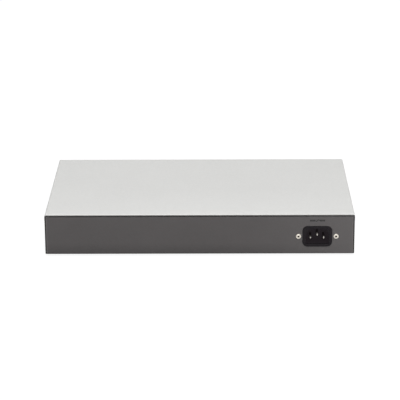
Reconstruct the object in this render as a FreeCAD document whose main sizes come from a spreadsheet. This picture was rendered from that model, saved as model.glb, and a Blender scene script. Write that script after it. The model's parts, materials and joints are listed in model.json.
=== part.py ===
import FreeCAD, Part
import math
import os

import Sketcher

# A desktop network switch in a folded sheet-steel case: a dark base that carries the front and rear walls,
# and a pale cover that closes the top and both sides. Two blocks of stacked jacks show through the front
# wall. The rear wall is plain but for the mains inlet, which is riveted to it. Inside are the main board on
# standoffs and an open-frame power supply, joined by wires.
#
# Millimetres. X runs across the case, Y from the front (-Y, the jacks) to the rear (+Y, the inlet), and Z is
# up. The origin is on the table, under the middle of everything: button, case and rivets.

doc = FreeCAD.newDocument("network_switch")

# ------------------------------------------------------------------ driving dimensions

DIMENSIONS = (
    ("case_width", 330, "outside width of the case"),
    ("case_depth", 204, "outside depth, from the front film to the rear wall"),
    ("case_height", 44, "height of the case without its feet"),
    ("base_sheet", 1.2, "steel of the base"),
    ("cover_sheet", 1.0, "steel of the cover"),
    ("bend_inside", 1.0, "inside bend radius of the base"),
    ("cover_bend", 1.5, "outside bend radius of the cover"),
    ("cover_gap", 0.9, "gap between the cover and the top edge of a wall"),
    ("side_gap", 0.3, "gap between the cover's sides and the front and rear walls"),
    ("flange_gap", 0.2, "gap between the cover's sides and the side flanges"),
    ("wall_edge_round", 1.1, "rounding of a wall's upright edges"),
    ("wall_corner_round", 2.0, "rounding of a wall's lower corners"),
    ("wall_ear", 4.0, "square corner left at the top of a wall's upright edges"),
    ("wall_lip", 8.0, "stiffening lip folded forward at the top of the rear wall"),
    ("flange_height", 14, "top of the side flanges above the case's underside"),
    ("flange_tall", 40, "top of the same flanges beside the rack-ear holes"),
    ("flange_tall_length", 35, "length of the tall stretch of a side flange"),
    ("film_thick", 0.3, "printed film on the front wall"),
    ("film_margin", 2.5, "film edge to case edge"),
    ("foot_radius", 8, "rubber foot"),
    ("foot_height", 2, "rubber foot"),
    ("foot_inset", 20, "foot centre to the case's edges"),
    ("vent_width", 2.4, "side vent slot"),
    ("vent_height", 20, "side vent slot"),
    ("vent_pitch", 6, "spacing of the vent slots"),
    ("vent_first", -50, "Y of the first slot"),
    ("vent_low", 17, "lower end of the slots above the case's underside"),
    ("ear_spacing_along", 20, "rack-ear holes, along the case"),
    ("ear_spacing_up", 24, "rack-ear holes, up the case"),
    ("ear_centre_y", -82, "centre of the rack-ear holes"),
    ("ear_hole_radius", 1.7, "rack-ear hole in the cover, clear of an M3 screw"),
    ("ear_thread_radius", 1.25, "threaded bore of the clinch nut behind it"),
    ("ear_nut_radius", 3.1, "clinch nut"),
    ("ear_nut_thick", 1.4, "clinch nut"),
    ("cover_screw_radius", 1.45, "M3 cover screw"),
    ("cover_screw_head", 2.8, "countersunk head"),
    ("cover_screw_length", 5, "under the cover's face"),
    ("cover_screw_level", 7, "screw axis above the case's underside"),
    ("inlet_centre_x", -125.3, "mains inlet"),
    ("inlet_level", 19.9, "centre of the inlet above the case's underside"),
    ("inlet_width", 31.2, "moulding that shows through the rear wall"),
    ("inlet_height", 22.6, "moulding that shows through the rear wall"),
    ("inlet_corner", 5.2, "its corner radius"),
    ("inlet_proud", 0.5, "how far it stands out of the wall"),
    ("inlet_depth", 21, "from the wall's outer face to the back of the moulding"),
    ("inlet_flange_width", 50, "flange behind the wall"),
    ("inlet_flange_height", 25, "flange behind the wall"),
    ("inlet_flange_thick", 3, "flange behind the wall"),
    ("recess_width", 24.8, "socket for the mains plug"),
    ("recess_height", 16.9, "socket for the mains plug"),
    ("recess_chamfer", 4.6, "cut corners on the earth side of the socket"),
    ("recess_depth", 16, "socket for the mains plug"),
    ("rivet_spacing", 40, "between the two rivets of the inlet"),
    ("rivet_radius", 1.6, "rivet body"),
    ("rivet_head", 2.65, "rivet head radius"),
    ("rivet_head_height", 0.9, "rivet head"),
    ("rivet_bore", 1.15, "hole around the mandrel"),
    ("mandrel_recess", 0.7, "broken end of the mandrel behind the rivet head's top"),
    ("blade_width", 2.0, "inlet blade across"),
    ("blade_height", 4.0, "inlet blade up"),
    ("blade_spacing", 14, "line blade to neutral blade"),
    ("blade_low", -2.6, "line and neutral, from the inlet's centre"),
    ("blade_high", 1.4, "earth, from the inlet's centre"),
    ("blade_recess", 4.0, "tips of the line and neutral blades behind the face"),
    ("earth_recess", 2.0, "tip of the earth blade behind the face"),
    ("blade_tip", 1.5, "tapered end of a blade"),
    ("blade_tip_width", 1.0, "flat at the end of a blade, across"),
    ("blade_tip_height", 1.8, "flat at the end of a blade, up"),
    ("tab_length", 7, "solder tabs behind the inlet"),
    ("tab_thick", 0.8, "solder tabs behind the inlet"),
    ("standoff_height", 6, "floor to board"),
    ("standoff_radius", 2.8, "standoff body"),
    ("standoff_shank", 2.4, "its clinched end in the floor"),
    ("board_thick", 1.6, "both circuit boards"),
    ("board_screw_radius", 1.2, "M2.5 board screw"),
    ("board_screw_head", 2.4, "pan head"),
    ("board_screw_head_height", 1.6, "pan head"),
    ("main_board_width", 306, "main board"),
    ("main_board_depth", 112, "main board"),
    ("main_board_gap", 1.5, "main board's front edge to the front wall"),
    ("jack_pitch", 13.97, "spacing of the jack columns"),
    ("jack_width", 11.9, "jack opening"),
    ("jack_height", 7.0, "jack opening without its latch notch"),
    ("latch_width", 6.3, "latch notch"),
    ("latch_height", 1.9, "latch notch"),
    ("jack_depth", 14, "jack opening"),
    ("jack_web", 3.8, "plastic between the two rows"),
    ("jack_block_width", 86, "stacked jack housing"),
    ("jack_block_height", 26, "stacked jack housing"),
    ("jack_block_depth", 24.7, "stacked jack housing"),
    ("jack_proud", 0.5, "shield stands out of the front film"),
    ("shield_thick", 0.3, "jack shield"),
    ("left_block_x", -20, "centre of the left jack block"),
    ("block_gap", 6, "between the two shields"),
    ("window_gap", 0.4, "wall window around a shield"),
    ("contact_pitch", 1.02, "contact wires of a jack"),
    ("contact_width", 0.45, "contact wire"),
    ("contact_thick", 0.3, "contact wire"),
    ("contact_length", 8.5, "contact wire"),
    ("contact_setback", 3.5, "front end of the contact wires behind the jack's face"),
    ("pipe_width", 2.4, "light pipe"),
    ("pipe_height", 1.4, "light pipe"),
    ("pipe_spread", 5.6, "between the two light pipes of a column"),
    ("pipe_level", 39.2, "underside of the light pipes above the table"),
    ("pipe_reach", 29, "front end to rear of a light pipe"),
    ("pipe_leg", 2, "light pipe's leg, front to back"),
    ("port_lamp_height", 0.8, "lamp on the board under a light pipe"),
    ("lamp_x", -136, "power lamp"),
    ("button_x", 136, "uplink button"),
    ("control_level", 22, "power lamp and uplink button above the case's underside"),
    ("lamp_radius", 1.5, "power lamp"),
    ("button_radius", 2.6, "uplink button"),
    ("button_proud", 2.2, "uplink button out of the film"),
    ("button_travel", 1.5, "uplink button"),
    ("button_clearance", 0.3, "wall hole around the button and the lamp"),
    ("plunger_side", 3.0, "square plunger behind the button's cap"),
    ("plunger_length", 7.5, "square plunger behind the button's cap"),
    ("spring_length", 5, "return spring at rest"),
    ("spring_radius", 1.05, "return spring, to the middle of its wire"),
    ("spring_wire", 0.18, "radius of its wire"),
    ("supply_width", 112, "power-supply board"),
    ("supply_depth", 54, "power-supply board"),
    ("supply_left", -158, "left edge of the power-supply board"),
    ("supply_front", 21, "front edge of the power-supply board"),
    ("insulator_thick", 0.25, "insulating sheet under the power supply"),
    ("mains_wire_radius", 0.9, "insulated mains wire"),
    ("low_wire_radius", 0.75, "insulated low-voltage wire"),
    ("wire_bend", 2.2, "middle of a wire around its bends"),
    ("wire_layer", 2, "from one low-voltage wire up to the next"),
)

# Components that are plain blocks standing on a board: name, X span, Y span, height.
# A name that repeats is one node with several solids.
BOARD_BLOCKS = (
    ("switch_chip", (2.5, 29.5), (-25.5, 1.5), 2.4),
    ("port_chips", (-56, -36), (-54, -34), 1.8),
    ("port_chips", (6, 26), (-54, -34), 1.8),
    ("port_chips", (68, 88), (-54, -34), 1.8),
    ("memory_chips", (39, 49), (-15, -9), 1.5),
    ("memory_chips", (54, 64), (-15, -9), 1.5),
    ("clock_crystals", (38, 49), (-27, -22.5), 3.6),
    ("clock_crystals", (54, 65), (-27, -22.5), 3.6),
    ("board_header", (-60, -44), (0, 8), 8),
    ("film_capacitor", (-139, -121), (58, 66), 13),
    ("supply_headers", (-156, -144), (65.5, 73), 8),
    ("supply_headers", (-58, -48), (34, 50), 8),
    ("transformer_base", (-112, -84), (38, 58), 3),
)

# Capacitor cans standing on a board: name, X, Y, radius, height.
CANS = (
    ("board_capacitors", -76, 5, 4, 11),
    ("board_capacitors", -88, 5, 4, 11),
    ("board_capacitors", -100, 5, 3.2, 8),
    ("board_capacitors", 100, 5, 4, 11),
    ("board_capacitors", 112, 5, 3.2, 8),
    ("bulk_capacitor", -126, 36, 9, 27),
    ("output_capacitors", -76, 64, 4, 18),
    ("output_capacitors", -66, 64, 4, 18),
    ("output_capacitors", -56, 64, 4, 18),
)

COLUMNS = 6
VENTS = 24
CONTACTS = 8
SPRING_TURNS = 5
MAIN_STANDOFFS = ((-145, -70), (-145, 5), (-80, -30), (125, -70), (145, 5), (20, 8))
SUPPLY_STANDOFFS = ((-154, 25), (-154, 59), (-50, 25), (-50, 71))
COVER_SCREWS = (-40, 25, 88)


class Size:
    """A length: its value, and the formula over the sheet's cells that gives it."""

    def __init__(self, value, formula=None):
        self.value = float(value)
        self.formula = formula or repr(float(value))

    def __add__(self, other):
        other = as_size(other)
        return Size(self.value + other.value, f"({self.formula} + {other.formula})")

    def __sub__(self, other):
        other = as_size(other)
        return Size(self.value - other.value, f"({self.formula} - {other.formula})")

    def __mul__(self, other):
        other = as_size(other)
        return Size(self.value * other.value, f"({self.formula} * {other.formula})")

    def __truediv__(self, other):
        other = as_size(other)
        return Size(self.value / other.value, f"({self.formula} / {other.formula})")

    def __neg__(self):
        return Size(-self.value, f"(0 - {self.formula})")

    def __radd__(self, other):
        return as_size(other) + self

    def __rsub__(self, other):
        return as_size(other) - self


def as_size(number):
    return number if isinstance(number, Size) else Size(number)


class Dimensions:
    """The sheet's cells by name: size.case_width is a Size."""

    def __init__(self, rows):
        sheet = doc.addObject("Spreadsheet::Sheet", "Sizes")
        for line, (alias, value, meaning) in enumerate(rows, start=1):
            sheet.set(f"A{line}", meaning)
            sheet.set(f"B{line}", str(value))
            sheet.setAlias(f"B{line}", alias)
            setattr(self, alias, Size(value, f"Sizes.{alias}"))
        doc.recompute()


size = Dimensions(DIMENSIONS)

# ------------------------------------------------------------------ drawing and building helpers

TURN_Z_TO = {
    "X": FreeCAD.Rotation(FreeCAD.Vector(0, 1, 0), 90),
    "Y": FreeCAD.Rotation(FreeCAD.Vector(1, 0, 0), -90),
    "Z": FreeCAD.Rotation(),
}
PLANE_FACES = {"XY": 1, "XZ": -1, "YZ": 1}  # the way each origin plane faces along its own axis
parts = {}


def bind(feature, name, length):
    """Ties one property of a feature to the sheet."""
    feature.setExpression(name, as_size(length).formula)


def around(centre, width):
    """The span of this width centred here."""
    centre, half = as_size(centre), as_size(width) / 2
    return (centre - half, centre + half)


def ordered(one, other):
    """The span between two levels given in either order."""
    one, other = as_size(one), as_size(other)
    return (one, other) if one.value < other.value else (other, one)


def outline(*corners, rounds=None):
    """A closed outline; rounds gives the radius at a right-angled corner, by the corner's number."""
    return {"corners": corners, "rounds": rounds or {}}


def rectangle(across, up, corner=None):
    """A rectangle over two spans, with its corners rounded if corner is given."""
    corners = ((across[0], up[0]), (across[1], up[0]), (across[1], up[1]), (across[0], up[1]))
    return outline(*corners, rounds={i: corner for i in range(4)} if corner else None)


def circle(across, up, radius):
    return {"centre": (across, up), "radius": radius}


def spandrel(corner, inward, radius):
    """The sliver outside a rounded corner; inward gives the two signs that point to the material."""
    x, y = corner
    past = 0.5
    return outline(
        (x - past * inward[0], y - past * inward[1]),
        (x + radius * inward[0], y - past * inward[1]),
        (x + radius * inward[0], y),
        (x, y),
        (x, y + radius * inward[1]),
        (x - past * inward[0], y + radius * inward[1]),
        rounds={3: radius * 0.999},
    )


def pin(sketch, geometry, end, point):
    """Fixes one point of a sketch by its two distances from the sketch's origin."""
    for kind, axis, place in (("DistanceX", -2, as_size(point[0])), ("DistanceY", -1, as_size(point[1]))):
        if abs(place.value) < 1e-9:
            sketch.addConstraint(Sketcher.Constraint("PointOnObject", geometry, end, axis))
        else:
            number = sketch.addConstraint(Sketcher.Constraint(kind, -1, 1, geometry, end, place.value))
            sketch.setExpression(f"Constraints[{number}]", place.formula)


def flat(point):
    return FreeCAD.Vector(as_size(point[0]).value, as_size(point[1]).value, 0)


def towards(start, goal, distance):
    """The point this far from start along the level or upright line to goal."""
    rise = flat(goal) - flat(start)
    if abs(rise.x) > abs(rise.y):
        return (start[0] + distance if rise.x > 0 else start[0] - distance, start[1])
    return (start[0], start[1] + distance if rise.y > 0 else start[1] - distance)


def set_radius(sketch, geometry, radius):
    number = sketch.addConstraint(Sketcher.Constraint("Radius", geometry, radius.value))
    sketch.setExpression(f"Constraints[{number}]", radius.formula)


def draw_circle(sketch, loop):
    radius = as_size(loop["radius"])
    ring = Part.Circle(flat(loop["centre"]), FreeCAD.Vector(0, 0, 1), radius.value)
    geometry = sketch.addGeometry(ring, False)
    pin(sketch, geometry, 3, loop["centre"])
    set_radius(sketch, geometry, radius)


def draw_outline(sketch, loop):
    """Lines between the corners, with a tangent arc at each rounded one."""
    corners = [(as_size(x), as_size(y)) for x, y in loop["corners"]]
    rounds = {i: as_size(radius) for i, radius in loop["rounds"].items()}
    count = len(corners)
    arrive, leave = list(corners), list(corners)
    for i, radius in rounds.items():
        arrive[i] = towards(corners[i], corners[i - 1], radius)
        leave[i] = towards(corners[i], corners[(i + 1) % count], radius)
    lines = []
    for i in range(count):
        after = (i + 1) % count
        line = sketch.addGeometry(Part.LineSegment(flat(leave[i]), flat(arrive[after])), False)
        pin(sketch, line, 1, leave[i])
        if after in rounds:
            pin(sketch, line, 2, arrive[after])
        lines.append(line)
    for i in range(count):
        if i not in rounds:
            sketch.addConstraint(Sketcher.Constraint("Coincident", lines[i - 1], 2, lines[i], 1))
            continue
        start, end, corner = flat(arrive[i]), flat(leave[i]), flat(corners[i])
        centre = start + end - corner
        middle = centre + (corner - centre).normalize() * rounds[i].value
        arc = sketch.addGeometry(Part.Arc(start, middle, end), False)
        turns_left = (corner - start).cross(end - corner).z > 0
        first, last = (1, 2) if turns_left else (2, 1)
        sketch.addConstraint(Sketcher.Constraint("Coincident", arc, first, lines[i - 1], 2))
        sketch.addConstraint(Sketcher.Constraint("Coincident", arc, last, lines[i], 1))
        set_radius(sketch, arc, rounds[i])


class Body:
    """A PartDesign body built from pads and pockets, each between two levels along its sketch's normal."""

    def __init__(self, label):
        self.body = doc.addObject("PartDesign::Body", label)
        self.body.Label = label
        self.volume = 0

    def kept(self):
        """Counts the body as a finished part."""
        parts[self.body.Label] = self.body
        return self

    def origin(self, role):
        return next(o for o in self.body.Origin.OriginFeatures if o.Role == role)

    def sketch(self, plane, level, loops):
        sketch = self.body.newObject("Sketcher::SketchObject", "Sketch")
        sketch.AttachmentSupport = [(self.origin(f"{plane}_Plane"), "")]
        sketch.MapMode = "FlatFace"
        bind(sketch, "AttachmentOffset.Base.z", as_size(level) * PLANE_FACES[plane])
        for loop in loops:
            draw = draw_circle if "radius" in loop else draw_outline
            draw(sketch, loop)
        return sketch

    def pad(self, plane, span, *loops):
        """Adds the loops' area between the two levels of span."""
        start = span[0] if PLANE_FACES[plane] > 0 else span[1]
        pad = self.body.newObject("PartDesign::Pad", "Pad")
        pad.Profile = self.sketch(plane, start, loops)
        bind(pad, "Length", span[1] - span[0])
        return self.made(pad, adds=True)

    def pocket(self, plane, span, *loops):
        """Removes the loops' area between the two levels of span."""
        start = span[1] if PLANE_FACES[plane] > 0 else span[0]
        pocket = self.body.newObject("PartDesign::Pocket", "Pocket")
        pocket.Profile = self.sketch(plane, start, loops)
        bind(pocket, "Length", span[1] - span[0])
        return self.made(pocket, adds=False)

    def row(self, feature, axis, pitch, count, adds):
        """Repeats a pad or pocket along an axis."""
        pattern = self.body.newObject("PartDesign::LinearPattern", "Row")
        pattern.Originals = [feature]
        pattern.Direction = (self.origin(f"{axis}_Axis"), [""])
        bind(pattern, "Length", pitch * (count - 1))
        pattern.Occurrences = count
        self.made(pattern, adds)

    def made(self, feature, adds):
        """Recomputes, and checks that the feature added or removed material as it should."""
        self.body.Tip = feature
        doc.recompute()
        gained = feature.Shape.Volume - self.volume
        self.volume = feature.Shape.Volume
        if not feature.isValid() or (gained <= 0 if adds else gained >= 0):
            raise RuntimeError(f"{self.body.Label}: {feature.Name} changed the volume by {gained}")
        return feature


def block(x, y, z):
    """A box over three spans."""
    box = doc.addObject("Part::Box", "Block")
    for name, span in (("Length", x), ("Width", y), ("Height", z)):
        bind(box, name, as_size(span[1]) - span[0])
    for name, span in (("x", x), ("y", y), ("z", z)):
        bind(box, f"Placement.Base.{name}", span[0])
    return box


def turned(kind, axis, centre, span):
    """A round primitive along an axis over span; centre gives its other two coordinates, in XYZ order."""
    feature = doc.addObject(kind, "Turned")
    place = dict(zip([name for name in "XYZ" if name != axis], centre))
    place[axis] = span[0]
    feature.Placement = FreeCAD.Placement(FreeCAD.Vector(), TURN_Z_TO[axis])
    for name in "XYZ":
        bind(feature, f"Placement.Base.{name.lower()}", place[name])
    bind(feature, "Height", as_size(span[1]) - span[0])
    return feature


def rod(axis, centre, span, radius):
    cylinder = turned("Part::Cylinder", axis, centre, span)
    bind(cylinder, "Radius", radius)
    return cylinder


def taper(axis, centre, span, radius_low, radius_high):
    cone = turned("Part::Cone", axis, centre, span)
    bind(cone, "Radius1", radius_low)
    bind(cone, "Radius2", radius_high)
    return cone


def joined(*pieces):
    """One solid from several."""
    fuse = doc.addObject("Part::MultiFuse", "Joined")
    fuse.Shapes = list(pieces)
    return fuse


def without(base, *tools):
    """The base with the tools cut away."""
    cut = doc.addObject("Part::Cut", "Without")
    cut.Base = base
    cut.Tool = tools[0] if len(tools) == 1 else joined(*tools)
    return cut


def keep(label, *pieces):
    """Names a finished part: one solid, or several separate ones that share a node."""
    part = pieces[0]
    if len(pieces) > 1:
        part = doc.addObject("Part::Compound", "Group")
        part.Links = list(pieces)
    part.Label = label
    parts[label] = part


def wire(radius, points):
    """A round wire: straight runs between these points, with every corner bent."""
    places = [FreeCAD.Vector(*[as_size(c).value for c in point]) for point in points]
    bend = size.wire_bend.value
    edges = []
    here = places[0]
    for before, corner, after in zip(places, places[1:], places[2:]):
        back = (before - corner).normalize()
        onward = (after - corner).normalize()
        half_angle = back.getAngle(onward) / 2
        start = corner + back * (bend / math.tan(half_angle))
        end = corner + onward * (bend / math.tan(half_angle))
        inside = corner + (back + onward).normalize() * (bend / math.sin(half_angle) - bend)
        edges.append(Part.makeLine(here, start))
        edges.append(Part.Arc(start, inside, end).toShape())
        here = end
    edges.append(Part.makeLine(here, places[-1]))
    ring = Part.Wire(Part.makeCircle(radius.value, places[0], places[1] - places[0]))
    feature = doc.addObject("Part::Feature", "Wire")
    feature.Shape = Part.Wire(edges).makePipeShell([ring], True, False)
    return feature


# ------------------------------------------------------------------ levels and places the parts share

half_width = size.case_width / 2
rear_face = size.case_depth / 2 + (size.button_proud - size.rivet_head_height) / 2
rear_inner = rear_face - size.base_sheet
film_face = rear_face - size.case_depth
front_outer = film_face + size.film_thick
front_inner = front_outer + size.base_sheet
underside = size.foot_height
floor_top = underside + size.base_sheet
cover_top = underside + size.case_height
cover_below = cover_top - size.cover_sheet
wall_top = cover_below - size.cover_gap
cover_inner = half_width - size.cover_sheet
flange_out = cover_inner - size.flange_gap
flange_in = flange_out - size.base_sheet
board_under = floor_top + size.standoff_height
board_top = board_under + size.board_thick
inlet_z = underside + size.inlet_level
control_z = underside + size.control_level
screw_level = underside + size.cover_screw_level
across_case = (-half_width - 1, half_width + 1)

ear_rows = around(size.ear_centre_y, size.ear_spacing_along)
ear_levels = around(underside + size.case_height / 2, size.ear_spacing_up)
ear_places = [(y, z) for y in ear_rows for z in ear_levels]
rivet_places = [(x, inlet_z) for x in around(size.inlet_centre_x, size.rivet_spacing)]

shield_width = size.jack_block_width + size.shield_thick * 2
block_centres = {"left": size.left_block_x, "right": size.left_block_x + shield_width + size.block_gap}
jack_front = film_face - size.jack_proud + size.shield_thick
housing_span = (board_top, board_top + size.jack_block_height)
shield_top = housing_span[1] + size.shield_thick
jack_middle = (housing_span[0] + housing_span[1]) / 2
pipe_span = (film_face - 0.1, film_face - 0.1 + size.pipe_reach)
pipe_top = size.pipe_level + size.pipe_height


def jack_columns(centre):
    """X of each column of jacks in a block."""
    return [centre + size.jack_pitch * (i - (COLUMNS - 1) / 2) for i in range(COLUMNS)]


def pipe_centres(centre):
    """X of every light pipe over a jack block."""
    return [x for column in jack_columns(centre) for x in around(column, size.pipe_spread)]


def front_openings():
    """Everything that shows through the front wall and its film."""
    loops = []
    for centre in block_centres.values():
        window = (housing_span[0] - size.window_gap, shield_top + size.window_gap)
        loops.append(rectangle(around(centre, shield_width + size.window_gap * 2), window))
        slot = (size.pipe_level - 0.1, pipe_top + 0.1)
        loops += [rectangle(around(x, size.pipe_width + 0.2), slot) for x in pipe_centres(centre)]
    loops.append(circle(size.lamp_x, control_z, size.lamp_radius + size.button_clearance))
    loops.append(circle(size.button_x, control_z, size.button_radius + size.button_clearance))
    return loops


# ------------------------------------------------------------------ case


def chassis_base():
    """One folded sheet: floor, front wall, rear wall with a lip along its top, and two side flanges."""
    base = Body("chassis_base").kept()
    outside = size.bend_inside + size.base_sheet
    tray = outline(
        (front_outer, underside),
        (rear_face, underside),
        (rear_face, wall_top),
        (rear_inner, wall_top),
        (rear_inner, floor_top),
        (front_inner, floor_top),
        (front_inner, wall_top),
        (front_outer, wall_top),
        rounds={0: outside, 1: outside, 4: size.bend_inside, 5: size.bend_inside},
    )
    base.pad("YZ", (-half_width, half_width), tray)
    bends = (underside - 1, floor_top + size.bend_inside)
    for side in (-1, 1):
        strip = ordered(flange_out * side, (half_width + 1) * side)
        base.pocket("XY", bends, rectangle(strip, (front_inner, rear_inner)))
    step = front_inner + size.flange_tall_length
    ends = (front_inner + size.side_gap * 2, rear_inner - size.side_gap * 2)
    flange = outline(
        (ends[0], underside),
        (ends[1], underside),
        (ends[1], underside + size.flange_height),
        (step, underside + size.flange_height),
        (step, underside + size.flange_tall),
        (ends[0], underside + size.flange_tall),
    )
    base.pad("YZ", (flange_in, flange_out), flange)
    base.pad("YZ", (-flange_out, -flange_in), flange)
    lip_width = around(0, (flange_in - 2) * 2)
    lip = rectangle(lip_width, (rear_inner - size.wall_lip, rear_inner + 0.2))
    base.pad("XY", (wall_top - size.base_sheet, wall_top), lip)
    ear_holes = [circle(y, z, size.ear_thread_radius + 0.05) for y, z in ear_places]
    screw_holes = [circle(y, screw_level, size.cover_screw_radius + 0.05) for y in COVER_SCREWS]
    base.pocket("YZ", across_case, *ear_holes, *screw_holes)
    for span in ((front_outer - 1, front_inner), (rear_inner, rear_face + 1)):
        for side in (-1, 1):
            corner = spandrel((half_width * side, underside), (-side, 1), size.wall_corner_round)
            base.pocket("XZ", span, corner)
    upright = (underside - 1, wall_top - size.wall_ear)
    for y, inward in ((front_outer, 1), (rear_face, -1)):
        for side in (-1, 1):
            edge = spandrel((half_width * side, y), (-side, inward), size.wall_edge_round)
            base.pocket("XY", upright, edge)
    base.pocket("XZ", (front_outer - 1, front_inner + 0.5), *front_openings())
    window = rectangle(
        around(size.inlet_centre_x, size.inlet_width + 0.3),
        around(inlet_z, size.inlet_height + 0.3),
        size.inlet_corner + 0.15,
    )
    rivet_holes = [circle(x, z, size.rivet_radius + 0.05) for x, z in rivet_places]
    base.pocket("XZ", (rear_inner - 0.5, rear_face + 1), window, *rivet_holes)
    shank_holes = [circle(x, y, size.standoff_shank + 0.05) for x, y in MAIN_STANDOFFS + SUPPLY_STANDOFFS]
    base.pocket("XY", (underside - 1, floor_top), *shank_holes)


def top_cover():
    """The pale sheet over the top and down both sides, with vents and countersunk holes in its sides."""
    cover = Body("folded_cover")
    skirt = underside + 0.3
    inside = size.cover_bend - size.cover_sheet
    fold = outline(
        (-half_width, skirt),
        (-cover_inner, skirt),
        (-cover_inner, cover_below),
        (cover_inner, cover_below),
        (cover_inner, skirt),
        (half_width, skirt),
        (half_width, cover_top),
        (-half_width, cover_top),
        rounds={2: inside, 3: inside, 6: size.cover_bend, 7: size.cover_bend},
    )
    cover.pad("XZ", (film_face, rear_face), fold)
    room_for_front_wall = (film_face - 1, front_inner + size.side_gap)
    room_for_rear_wall = (rear_inner - size.side_gap, rear_face + 1)
    for end in (room_for_front_wall, room_for_rear_wall):
        cover.pocket("YZ", across_case, rectangle(end, (underside - 1, wall_top + 0.1)))
    cover.pocket("YZ", across_case, *[circle(y, z, size.ear_hole_radius) for y, z in ear_places])
    low = underside + size.vent_low
    width = around(size.vent_first, size.vent_width)
    slot = rectangle(width, (low, low + size.vent_height), size.vent_width * 0.499)
    vent = cover.pocket("YZ", across_case, slot)
    cover.row(vent, "Y", size.vent_pitch, VENTS, adds=False)
    shank, head = size.cover_screw_radius + 0.15, size.cover_screw_head + 0.25
    sinks = []
    for y in COVER_SCREWS:
        sinks.append(taper("X", (y, screw_level), (cover_inner, half_width), shank, head))
        sinks.append(taper("X", (y, screw_level), (-half_width, -cover_inner), head, shank))
    keep("top_cover", without(cover.body, *sinks))


def front_film():
    film = Body("front_film").kept()
    across = (size.film_margin - half_width, half_width - size.film_margin)
    up = (underside + size.film_margin, wall_top - 1)
    film.pad("XZ", (film_face, front_outer), rectangle(across, up, size.wall_corner_round))
    film.pocket("XZ", (film_face - 1, front_outer + 1), *front_openings())


def rubber_feet():
    feet = []
    for x in (size.foot_inset - half_width, half_width - size.foot_inset):
        for y in (film_face + size.foot_inset, rear_face - size.foot_inset):
            feet.append(taper("Z", (x, y), (0, underside), size.foot_radius - 0.7, size.foot_radius))
    keep("rubber_feet", *feet)


def cross_recess(axis, centre, span):
    """The two crossing slots of a driver recess, along an axis."""
    slots = []
    for long, wide in ((2.6, 0.6), (0.6, 2.6)):
        spans = [around(centre[0], long), around(centre[1], wide)]
        spans.insert("XYZ".index(axis), span)
        slots.append(block(*spans))
    return slots


def cover_screws():
    """Countersunk screws through the cover's sides into the flanges."""
    screws = []
    for side in (-1, 1):
        face = (half_width - 0.1) * side
        neck = (cover_inner - 0.1) * side
        tip = (half_width - size.cover_screw_length) * side
        radii = (size.cover_screw_radius, size.cover_screw_head)[::side]
        for y in COVER_SCREWS:
            head = taper("X", (y, screw_level), ordered(neck, face), *radii)
            shank = rod("X", (y, screw_level), ordered(tip, neck), size.cover_screw_radius)
            recess = cross_recess("X", (y, screw_level), ordered(face - 0.7 * side, face + 0.5 * side))
            screws.append(without(joined(head, shank), *recess))
    keep("cover_screws", *screws)


def ear_nuts():
    """Clinch nuts behind the rack-ear holes."""
    nuts = []
    for side in (-1, 1):
        span = ordered(flange_in * side, (flange_in - size.ear_nut_thick) * side)
        for place in ear_places:
            bore = rod("X", place, span, size.ear_thread_radius)
            nuts.append(without(rod("X", place, span, size.ear_nut_radius), bore))
    keep("ear_nuts", *nuts)


# ------------------------------------------------------------------ mains inlet

inlet_face = rear_face + size.inlet_proud
inlet_back = rear_face - size.inlet_depth


def blade_places():
    """X, Z and tip recess of the line, earth and neutral blades."""
    line, neutral = around(size.inlet_centre_x, size.blade_spacing)
    low, high = inlet_z + size.blade_low, inlet_z + size.blade_high
    return (
        (line, low, size.blade_recess),
        (size.inlet_centre_x, high, size.earth_recess),
        (neutral, low, size.blade_recess),
    )


def power_inlet():
    """Black moulding: a block through the wall, a flange behind it and the socket with two cut corners."""
    inlet = Body("power_inlet").kept()
    x, z = size.inlet_centre_x, inlet_z
    outer = rectangle(around(x, size.inlet_width), around(z, size.inlet_height), size.inlet_corner)
    inlet.pad("XZ", (inlet_back, inlet_face), outer)
    flange = (rear_inner - size.inlet_flange_thick, rear_inner)
    spans = around(x, size.inlet_flange_width), around(z, size.inlet_flange_height)
    inlet.pad("XZ", flange, rectangle(*spans, size.inlet_corner))
    left, right = around(x, size.recess_width)
    low, high = around(z, size.recess_height)
    cut = size.recess_chamfer
    socket = outline(
        (left, low),
        (right, low),
        (right, high - cut),
        (right - cut, high),
        (left + cut, high),
        (left, high - cut),
    )
    socket_end = inlet_face - size.recess_depth
    inlet.pocket("XZ", (socket_end, inlet_face + 1), socket)
    rivet_holes = [circle(*place, size.rivet_radius + 0.05) for place in rivet_places]
    inlet.pocket("XZ", (flange[0] - 1, flange[1] + 0.1), *rivet_holes)
    slots = []
    for blade_x, blade_z, _ in blade_places():
        slots.append(rectangle(around(blade_x, size.blade_width), around(blade_z, size.blade_height)))
    inlet.pocket("XZ", (inlet_back - 1, socket_end + 1), *slots)


def blade_tip(x, z, end):
    """The last stretch of a blade, which narrows all round towards its end."""
    tip = doc.addObject("Part::Wedge", "Tip")
    bind(tip, "Ymin", end - size.blade_tip)
    bind(tip, "Ymax", end)
    root = around(x, size.blade_width), around(z, size.blade_height)
    point = around(x, size.blade_tip_width), around(z, size.blade_tip_height)
    for mark, spans in (("", root), ("2", point)):
        for axis, span in zip("XZ", spans):
            bind(tip, f"{axis}{mark}min", span[0])
            bind(tip, f"{axis}{mark}max", span[1])
    return tip


def inlet_blades():
    """The three blades, each with its solder tab behind the moulding."""
    blades = []
    for x, z, recess in blade_places():
        up = around(z, size.blade_height)
        end = inlet_face - recess
        blade = block(around(x, size.blade_width), (inlet_back, end - size.blade_tip), up)
        tab = block(around(x, size.tab_thick), (inlet_back - size.tab_length, inlet_back), up)
        blades.append(joined(blade, blade_tip(x, z, end), tab))
    keep("inlet_blades", *blades)


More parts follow.
